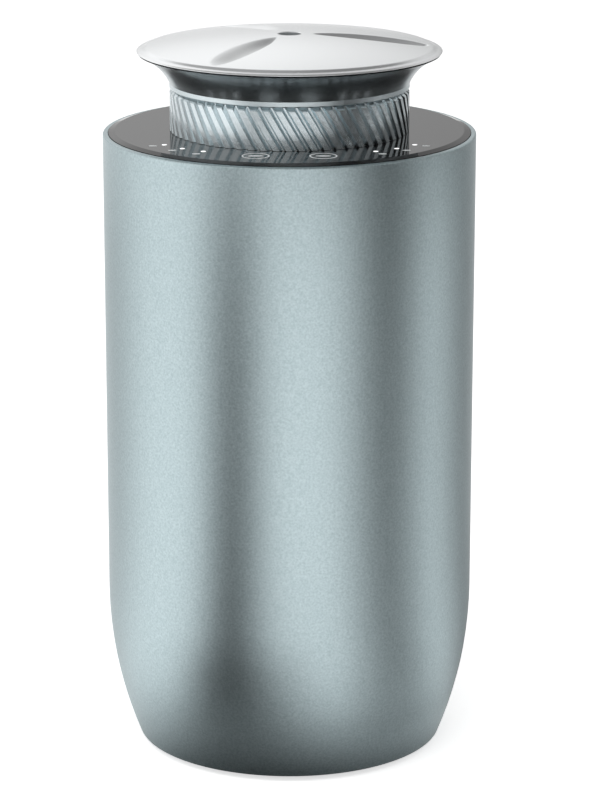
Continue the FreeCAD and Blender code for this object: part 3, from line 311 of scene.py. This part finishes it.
# %% The cap's dome and its edge
CROWN, CAP_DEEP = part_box("cap_disc")[1].z / MM, 5.0
CAP_LOW = CROWN - CAP_DEEP
DOME_ARC = 242.6
OUTLET = 3.4
OUTLET_EDGE = ((0.0, 0.15), (0.06, 0.05))  # outwards and down from where the dome would meet the bore
OUTLET_EDGE_WIDE = 0.2
EDGE = (
    # radius and height above the cap's underside: the dome steps down to a low bead that rolls under
    (42.0, 1.33), (42.25, 1.25), (42.5, 1.10), (42.75, 0.92), (43.0, 0.77), (43.3, 0.67), (43.8, 0.57),
    (44.3, 0.45), (44.65, 0.32), (44.83, 0.18), (44.87, 0.08), (44.75, 0.0),
)
RIM_UNDER = 44.0
DOME_START, DOME_END = OUTLET + OUTLET_EDGE_WIDE, EDGE[0][0]
SCOOP_ANGLES = (-1.5, 119.0, -122.0)
SCOOP_TIP, SCOOP_LENGTH, SCOOP_WIDE = 6.3, 34.6, 10.6
INNER_END, OUTER_END = 0.7, 0.5  # powers that close the leaf: the lower, the blunter
SCOOP_DEEP, VALLEY = 2.1, 0.35
FULL_HALF = 5.0  # half width in mm at which a scoop is at its full depth
OUTER_LOSS = 0.3  # share of the depth that is lost by the outer end
STRAIGHT = 0.6  # share of the gentle side that is a straight slope, with the rest eased
AROUND, ACROSS = 600, 112


def smooth(k):
    return k * k * (3 - 2 * k)


def dome(radius):
    return CROWN - DOME_ARC + math.sqrt(DOME_ARC**2 - radius**2)


def scoop_drop(x, y):
    deepest = 0.0
    for degrees in SCOOP_ANGLES:
        c, s = math.cos(math.radians(degrees)), math.sin(math.radians(degrees))
        t = (x * c + y * s - SCOOP_TIP) / SCOOP_LENGTH
        if 0.0 < t < 1.0:
            half = SCOOP_WIDE * t**INNER_END * (1 - t) ** OUTER_END
            across = (y * c - x * s) / half
            if abs(across) < 1.0:
                gentle = (across + 1) / (1 + VALLEY)
                steep = (1 - across) / (1 - VALLEY)
                slope = STRAIGHT * gentle + (1 - STRAIGHT) * smooth(gentle)
                share = slope if across < VALLEY else smooth(steep)
                depth = SCOOP_DEEP * smooth(min(1.0, half / FULL_HALF)) * (1 - OUTER_LOSS * t)
                deepest = max(deepest, depth * share)
    return deepest


def lathe_mesh(name, outline, material, drop=None):
    # A closed outline of (radius, height) points in mm, turned round the axis; drop lowers points by (x, y)
    verts, faces, count = [], [], len(outline)
    for i in range(AROUND):
        c, s = math.cos(2 * math.pi * i / AROUND), math.sin(2 * math.pi * i / AROUND)
        for r, z in outline:
            lower = drop(r * c, r * s) if drop and OUTLET < r < DOME_END else 0.0
            verts.append((r * c * MM, r * s * MM, (z - lower) * MM))
    for i in range(AROUND):
        for j in range(count):
            a, b = i * count + j, i * count + (j + 1) % count
            faces.append((a, (a + count) % len(verts), (b + count) % len(verts), b))
    mesh = bpy.data.meshes.new(name)
    mesh.from_pydata(verts, [], faces)
    mesh.polygons.foreach_set("use_smooth", [True] * len(faces))
    mesh.materials.append(material)
    made = bpy.data.objects.new(name, mesh)
    bpy.context.scene.collection.objects.link(made)
    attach(made, "head")
    print(name + ":", len(verts), "points")
    return made


outline = [(OUTLET, CAP_LOW)] + [(OUTLET + out, dome(OUTLET) - down) for out, down in OUTLET_EDGE]
for i in range(ACROSS):
    radius = DOME_START + (DOME_END - DOME_START) * i / ACROSS
    outline.append((radius, dome(radius)))
outline += [(radius, CAP_LOW + rise) for radius, rise in EDGE] + [(RIM_UNDER, CAP_LOW)]
cap_top = lathe_mesh("cap_top", outline, silver, scoop_drop)
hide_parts("cap_disc")

# %% [markdown]
# The outlet's bore is lined with a thin matt grey liner, whose grey is painted shade for the dim inside of the
# hole. It is matt, so the hole looks plain and dark where bare metal would glitter.

# %% The outlet's liner
LINER_WALL, LINER_SINK = 0.3, 0.2
LINER_GAP, LINER_BEVEL = 0.02, 0.1
LINER_GRIT = 0.5

# Painted shade: this matt grey stands in for the shade inside the bore.
liner_shade, tree, shader = finish("matt_grey_painted_shade", "#7B7F81", 0.65)
grain(tree, shader, LINER_GRIT, 2.0, gloss=(0.58, 0.72))
inner, outer, top = OUTLET - LINER_WALL, OUTLET - LINER_GAP, dome(OUTLET) - LINER_SINK
bevel = [(inner, top - LINER_BEVEL), (inner + LINER_BEVEL, top)]
lathe_mesh("outlet_liner", [(inner, CAP_LOW), *bevel, (outer, top), (outer, CAP_LOW)], liner_shade)

# %% [markdown]
# The flare under the cap is turned on a lathe and left satin. The tool leaves fine rings round the axis, so the
# noise is stretched until it runs round the part, and the mirror image is drawn out along the profile. Real
# rings are finer than a pixel, so they are drawn 0.5 mm apart.

# %% Turned aluminium, on the flare
TOOL_RING = 0.5
ROUND_THE_AXIS = (0.02, 0.02, 1.0)

turned, tree, shader = finish("turned_aluminium", "#CDD5D8", 0.29, 1.0)
place = node(tree, "ShaderNodeTexCoord")
stretch = node(tree, "ShaderNodeMapping", {"Scale": ROUND_THE_AXIS}, {"Vector": place.outputs["Object"]})
grain(tree, shader, TOOL_RING, 1.0, gloss=(0.27, 0.31), dent=(0.02, 0.02), where=stretch.outputs["Vector"])
wear(turned, "cap_skirt")

# %% [markdown]
# The collar's slanted ribs are milled into a ring. The cutter leaves each wall satin with a slightly uneven
# tone, so every rib mirrors a short bright streak of its own.

# %% Milled aluminium, on the ribbed collar
CUTTER_MARK = 0.4

milled, tree, shader = finish("milled_aluminium", "#D7E1E5", 0.25, 1.0)
grain(tree, shader, CUTTER_MARK, 3.0, dent=(0.08, 0.03), tones=("#CBD7DB", "#E3EBEE"))
wear(milled, "grip_collar")

# %% [markdown]
# The trim ring between flare and collar is polished on the lathe with a cloth, which leaves a soft haze. It
# mirrors no clear shapes, so it reads as one clean pale line.

# %% Polished aluminium, on the trim ring
POLISH_HAZE = 3.0

polished, tree, shader = finish("polished_aluminium", "#CFD9DC", 0.30, 1.0)
grain(tree, shader, POLISH_HAZE, 2.0, gloss=(0.26, 0.34))
wear(polished, "trim_ring")

# %% [markdown]
# The panel is cast acrylic, black all through and polished: nearly black from above, and a mirror for the
# collar at the camera's low angle. Faint handling haze keeps the mirror from being perfect. The photograph's
# mirror image is dimmer than acrylic's usual IOR of 1.49 gives, so a lower one was matched to it.

# %% Black gloss acrylic, on the panel
HANDLING_HAZE = 8.0
PANEL_IOR = 1.36

acrylic, tree, shader = finish("black_gloss_acrylic", "#0B0B0C", 0.05, IOR=PANEL_IOR)
grain(tree, shader, HANDLING_HAZE, 4.0, gloss=(0.03, 0.08))
wear(acrylic, "control_panel")

# %% [markdown]
# The parts that show when the head is lifted, or from below, are moulded plastic, rubber, plated steel and
# brass. One table gives each its colour, gloss and grain, because they are made alike: a noise of the grain's
# width varies the gloss and dents the surface.

# %% Moulded, plated and sheet materials
GLOSS_SWING = 0.05
DENT_DEPTH = 0.05
PLAIN = [
    # name, colour, roughness, metallic, grain in mm, dent strength, parts
    # An etched mould gives ABS a soft even sheen, and nylon a tighter highlight
    ("moulded_black_abs", "#17181A", 0.42, 0.0, 0.5, 0.20,
     "base_cover bottle_well top_frame lock_ring head_carrier"),
    ("moulded_grey_abs", "#6E7275", 0.48, 0.0, 0.5, 0.20, "chassis pump_body pump_cover atomiser_body"),
    ("moulded_black_nylon", "#101113", 0.36, 0.0, 0.6, 0.15, "dc_jack chimney"),
    # Rubber is dead matt, acetal waxy white and silicone milky and a little dull
    ("moulded_black_rubber", "#1A1A1A", 0.78, 0.0, 0.4, 0.30,
     "foot_ring pump_mount pump_diaphragm head_o_ring"),
    ("moulded_white_acetal", "#E4E4E0", 0.38, 0.0, 0.8, 0.10, "pump_valve_plate slip_washer ribbon_cable"),
    ("moulded_silicone", "#D9DAD6", 0.55, 0.0, 1.5, 0.10, "air_hose air_bush bottle_seal"),
    # Plating is bright with a faint haze, bare steel a clean grey, and brass shines a warm yellow
    ("zinc_plated_steel", "#C9CBCD", 0.30, 1.0, 0.8, 0.08,
     "base_screws pump_screws frame_screws retainer_screws"),
    ("stainless_steel", "#D2D3D4", 0.26, 1.0, 0.6, 0.06, "atomiser_screws cap_screws collar_retainer"),
    ("drawn_motor_steel", "#B9BBBD", 0.34, 1.0, 1.2, 0.06, "pump_motor pump_rotor"),
    ("turned_brass", "#D6B565", 0.24, 1.0, 0.6, 0.05, "atomiser_nozzle"),
    # Open cells and loose fibres give no shine at all
    ("carbon_loaded_foam", "#26272A", 0.90, 0.0, 0.9, 0.60, "touch_pads"),
    ("needled_felt", "#D8D5CC", 0.95, 0.0, 0.7, 0.80, "intake_filter"),
    # Film and wire have a low plastic gloss, cast epoxy a high one, and a board's mask an uneven one
    ("film_tape", "#222326", 0.60, 0.0, 2.0, 0.10, "panel_tape"),
    ("pvc_wire", "#B3262B", 0.45, 0.0, 1.0, 0.10, "motor_leads"),
    ("led_epoxy", "#F2F1E6", 0.30, 0.0, 0.8, 0.05, "leds"),
    ("glass_fibre_board", "#1F5A36", 0.42, 0.0, 1.2, 0.15, "control_board touch_board"),
]
for name, colour, roughness, metallic, width, dent, names in PLAIN:
    material, tree, shader = finish(name, colour, roughness, metallic)
    swing = (roughness - GLOSS_SWING, roughness + GLOSS_SWING)
    grain(tree, shader, width, 3.0, gloss=swing, dent=(dent, DENT_DEPTH))
    wear(material, *names.split())

# %% [markdown]
# The bottle is amber soda glass, blown in a mould, so its walls wander a little and bend what lies behind. The
# dip tube and the light pipes are clear drawn plastic. Both let light through, with the colour in the glass.

# %% Amber glass and clear plastic
WALL_WANDER = 14.0
DRAWING_HAZE = 2.0

amber, tree, shader = finish("blown_amber_glass", "#C56A1B", 0.04, IOR=1.52, Transmission_Weight=1.0)
grain(tree, shader, WALL_WANDER, 1.0, dent=(0.10, 0.3))
wear(amber, "bottle")

clear, tree, shader = finish("drawn_clear_plastic", "#EDF0EE", 0.12, IOR=1.49, Transmission_Weight=1.0)
grain(tree, shader, DRAWING_HAZE, 2.0, gloss=(0.08, 0.18))
wear(clear, "dip_tube", "led_light_pipes")

# %% [markdown]
# The panel's marks are screen-printed: two key outlines with a short bar in each, six lamp windows and a dash
# beside every window. Each is a thin raised film of ink, built as a flat ring or bar with real edges, so it
# sits on the acrylic and rides with the housing. The ink is matt and covers a little unevenly. The windows are
# frosted, and a faint glow is painted into them that lifts them to white, while the diodes below give no light.

# %% Printed ink
INK_COVER, FROST = 0.5, 0.3
INK_SINK, INK_PROUD = 0.02, 0.03
PANEL_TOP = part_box("control_panel")[1].z / MM
OVAL_POINTS = 40

ink, tree, shader = finish("screen_printed_ink", "#E9ECEC", 0.55)
grain(tree, shader, INK_COVER, 2.0, tones=("#D3D8D8", "#F6F8F8"))

# Without a place of its own, this noise fills each window's box, far finer than a pixel: an even frost
# A painted glow: the emission of 0.9 lifts the frosted windows to white, with no light from the diodes below.
window, tree, shader = finish("frosted_window_painted_glow", "#F4F6F6", 0.45, Emission_Strength=0.9)
frost = node(tree, "ShaderNodeTexNoise", {"Scale": 1 / (FROST * MM), "Detail": 2.0})
matt = node(tree, "ShaderNodeMapRange", {"To Min": 0.35, "To Max": 0.55}, {"Value": frost.outputs["Fac"]})
tree.links.new(matt.outputs["Result"], shader.inputs["Roughness"])
print("panel's top in mm:", round(PANEL_TOP, 2))


def on_panel(radius, degrees):
    return radius * math.cos(math.radians(degrees)), radius * math.sin(math.radians(degrees))


def oval(middle, along, across):
    # Points of an ellipse about a point of the panel, with its axes along x and y
    turns = [2 * math.pi * i / OVAL_POINTS for i in range(OVAL_POINTS)]
    return [(middle[0] + along * math.cos(a), middle[1] + across * math.sin(a)) for a in turns]


def printed(name, inner, outer, material):
    # A film between two closed outlines of (x, y) points in mm; an inner outline of one point fills it
    mesh = bmesh.new()
    low, high = PANEL_TOP - INK_SINK, PANEL_TOP + INK_PROUD
    rows = []
    for z in (low, high):
        for outline in (inner, outer):
            rows.append([mesh.verts.new((x * MM, y * MM, z * MM)) for x, y in outline])
    low_in, low_out, high_in, high_out = rows
    count = len(outer)
    for i in range(count):
        j = (i + 1) % count
        mesh.faces.new((low_out[i], low_out[j], high_out[j], high_out[i]))
        if len(inner) == 1:
            mesh.faces.new((high_in[0], high_out[i], high_out[j]))
            mesh.faces.new((low_in[0], low_out[j], low_out[i]))
        else:
            mesh.faces.new((high_in[i], high_out[i], high_out[j], high_in[j]))
            mesh.faces.new((low_in[i], low_in[j], low_out[j], low_out[i]))
            mesh.faces.new((low_in[j], low_in[i], high_in[i], high_in[j]))
    bmesh.ops.recalc_face_normals(mesh, faces=mesh.faces)
    data = bpy.data.meshes.new(name)
    mesh.to_mesh(data)
    mesh.free()
    data.materials.append(material)
    made = bpy.data.objects.new(name, data)
    bpy.context.scene.collection.objects.link(made)
    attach(made, "housing")
    return made


# %% [markdown]
# The two keys lie side by side at the front of the panel, with three windows on each side of them. One screen
# prints all of it, so every mark has the same height. The places, as radius and degrees, were measured in the
# photograph and brought down to the panel's plane.

# %% Touch keys, lamp windows and dashes
KEY_RADIUS, KEY_ANGLES = 42.3, (-103.1, -76.9)
KEY_HALF, KEY_LINE = 4.0, 0.45
BAR_HALF, BAR_THICK = 2.2, 0.75
WINDOW_HALF = 0.75
DASH_HALF, DASH_THICK = 1.2, 0.62
WINDOWS = [(43.75, -145.4), (43.2, -135.2), (42.4, -125.4), (42.4, -54.6), (43.2, -44.8), (43.75, -34.6)]
DASHES = [(47.3, -146.0), (46.95, -135.4), (46.45, -124.7), (46.45, -55.3), (46.95, -44.6), (47.3, -34.0)]

marks = []
for side, angle in zip(("left", "right"), KEY_ANGLES):
    key = on_panel(KEY_RADIUS, angle)
    inside = KEY_HALF - KEY_LINE
    outlines = oval(key, inside, inside), oval(key, KEY_HALF, KEY_HALF)
    marks.append(printed("key_ring_" + side, *outlines, ink))
    marks.append(printed("key_bar_" + side, [key], oval(key, BAR_HALF, BAR_THICK), ink))
for number, (window_place, dash_place) in enumerate(zip(WINDOWS, DASHES), 1):
    spot, stroke = on_panel(*window_place), on_panel(*dash_place)
    marks.append(printed(f"lamp_window_{number}", [spot], oval(spot, WINDOW_HALF, WINDOW_HALF), window))
    marks.append(printed(f"lamp_dash_{number}", [stroke], oval(stroke, DASH_HALF, DASH_THICK), ink))
print("marks:", len(marks))
